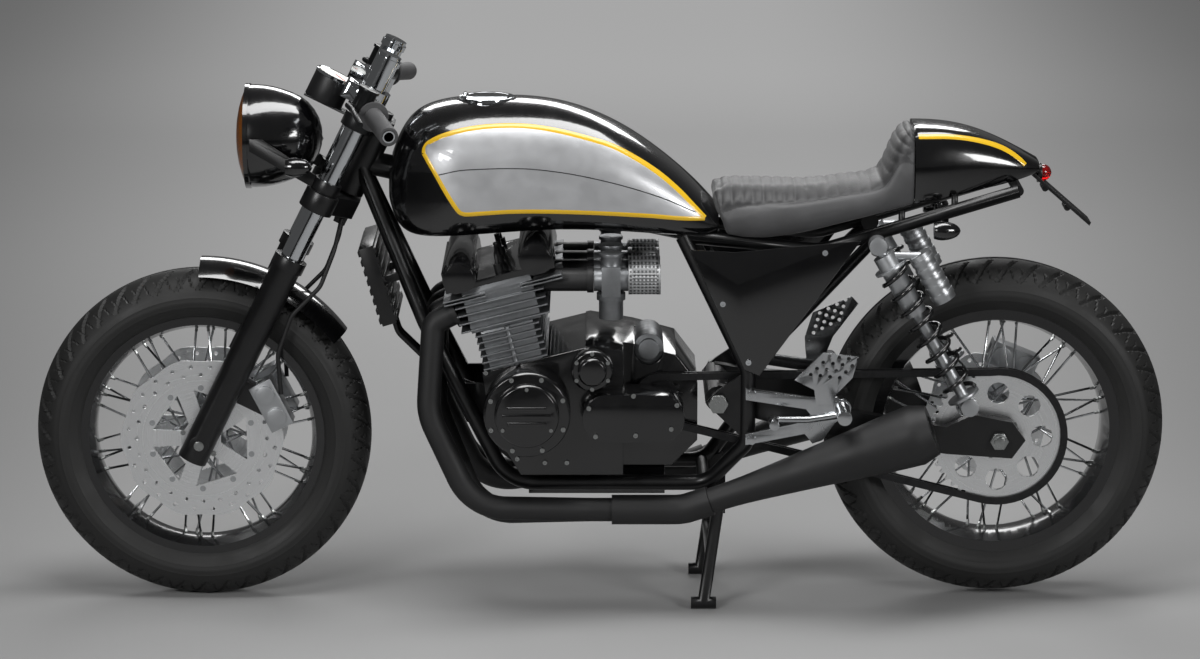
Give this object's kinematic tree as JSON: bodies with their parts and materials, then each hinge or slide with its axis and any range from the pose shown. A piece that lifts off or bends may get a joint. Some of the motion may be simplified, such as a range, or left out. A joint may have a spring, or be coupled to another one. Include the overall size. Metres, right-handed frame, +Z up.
{
  "type": "cafe racer motorcycle",
  "caption": "Cafe racer motorcycle with an air-cooled in-line four, wire wheels, clip-on bars, round head lamp, humped solo seat and black exhausts, parked upright on its centre stand.",
  "frame": {"origin": "on the ground under the middle of the machine", "axes": "+X forward, +Y to the rider's left, +Z up"},
  "size_m": [2.076, 0.7788, 1.0331],
  "materials": {
    "gloss_black": "gloss",
    "satin_black": "satin",
    "bright_steel": "brushed",
    "machined_alloy": "machined",
    "seat_leather": "soft sheen",
    "red_lens": "gloss",
    "lamp_plastic": "satin",
    "cast_black": "semi-gloss",
    "bare_casting": "as cast",
    "filter_cloth": "pleated",
    "hose_rubber": "satin",
    "exhaust_black": "matt heat paint",
    "chain_steel": "oiled",
    "fork_chrome": "polished",
    "amber_glass": "tinted",
    "grip_rubber": "matt",
    "tyre_rubber": "matt",
    "disc_steel": "ground"
  },
  "bodies": {
    "root": {"frame_backbone": "gloss_black", "frame_cradle": "gloss_black", "seat_rails": "gloss_black", "swingarm": "satin_black", "swingarm_axles": "bright_steel", "shock_bodies": "machined_alloy", "shock_springs": "satin_black", "fuel_tank": "gloss_black", "filler_ring": "gloss_black", "seat_pad": "seat_leather", "tail_cowl": "gloss_black", "tail_lamp": "red_lens", "side_covers": "gloss_black", "plate_bracket": "satin_black", "rear_indicators": "lamp_plastic", "crankcase": "cast_black", "cylinder_block": "bare_casting", "cylinder_head": "bare_casting", "cam_cover": "bare_casting", "left_covers": "cast_black", "right_covers": "cast_black", "carburettors": "bare_casting", "pod_filters": "filter_cloth", "intake_boots": "hose_rubber", "headers": "exhaust_black", "mufflers": "exhaust_black", "oil_cooler": "satin_black", "rearsets": "machined_alloy", "chain": "chain_steel", "rear_caliper": "satin_black", "plug_leads": "hose_rubber", "starter_motor": "bare_casting"},
    "steering": {"fork_sliders": "satin_black", "fork_tubes": "fork_chrome", "lower_clamp": "satin_black", "upper_clamp": "satin_black", "front_axle": "bright_steel", "front_calipers": "bare_casting", "front_fender": "gloss_black", "headlamp_shell": "gloss_black", "headlamp_lens": "amber_glass", "headlamp_bracket": "satin_black", "front_indicators": "lamp_plastic", "gauge": "satin_black", "clip_ons": "satin_black", "grips": "grip_rubber", "bar_controls": "satin_black", "brake_hoses": "hose_rubber"},
    "front_wheel": {"front_tyre": "tyre_rubber", "front_rim": "satin_black", "front_hub": "bright_steel", "front_discs": "disc_steel"},
    "rear_wheel": {"rear_tyre": "tyre_rubber", "rear_rim": "satin_black", "rear_hub": "bright_steel", "rear_disc": "disc_steel", "rear_sprocket": "bright_steel"},
    "centre_stand": {"centre_stand": "satin_black"},
    "filler_lid": {"filler_lid": "gloss_black"}
  },
  "joints": [
    {"name": "steering", "type": "hinge", "parent": "root", "child": "steering", "pos_m": [0.43318, 0, 0.81369], "axis": [-0.4462, 0, 0.8949], "range_deg": [-30, 30]},
    {"name": "front_wheel_spin", "type": "hinge", "parent": "steering", "child": "front_wheel", "pos_m": [0.73, 0, 0.308], "axis": [0, 1, 0], "continuous": true},
    {"name": "rear_wheel_spin", "type": "hinge", "parent": "root", "child": "rear_wheel", "pos_m": [-0.725, 0, 0.321], "axis": [0, 1, 0], "continuous": true},
    {"name": "centre_stand_fold", "type": "hinge", "parent": "root", "child": "centre_stand", "pos_m": [-0.215, 0, 0.188], "axis": [0, 1, 0], "range_deg": [0, 85]},
    {"name": "filler_lid_hinge", "type": "hinge", "parent": "root", "child": "filler_lid", "pos_m": [0.245, 0, 0.9336], "axis": [0, 1, 0], "range_deg": [0, 90]}
  ]
}
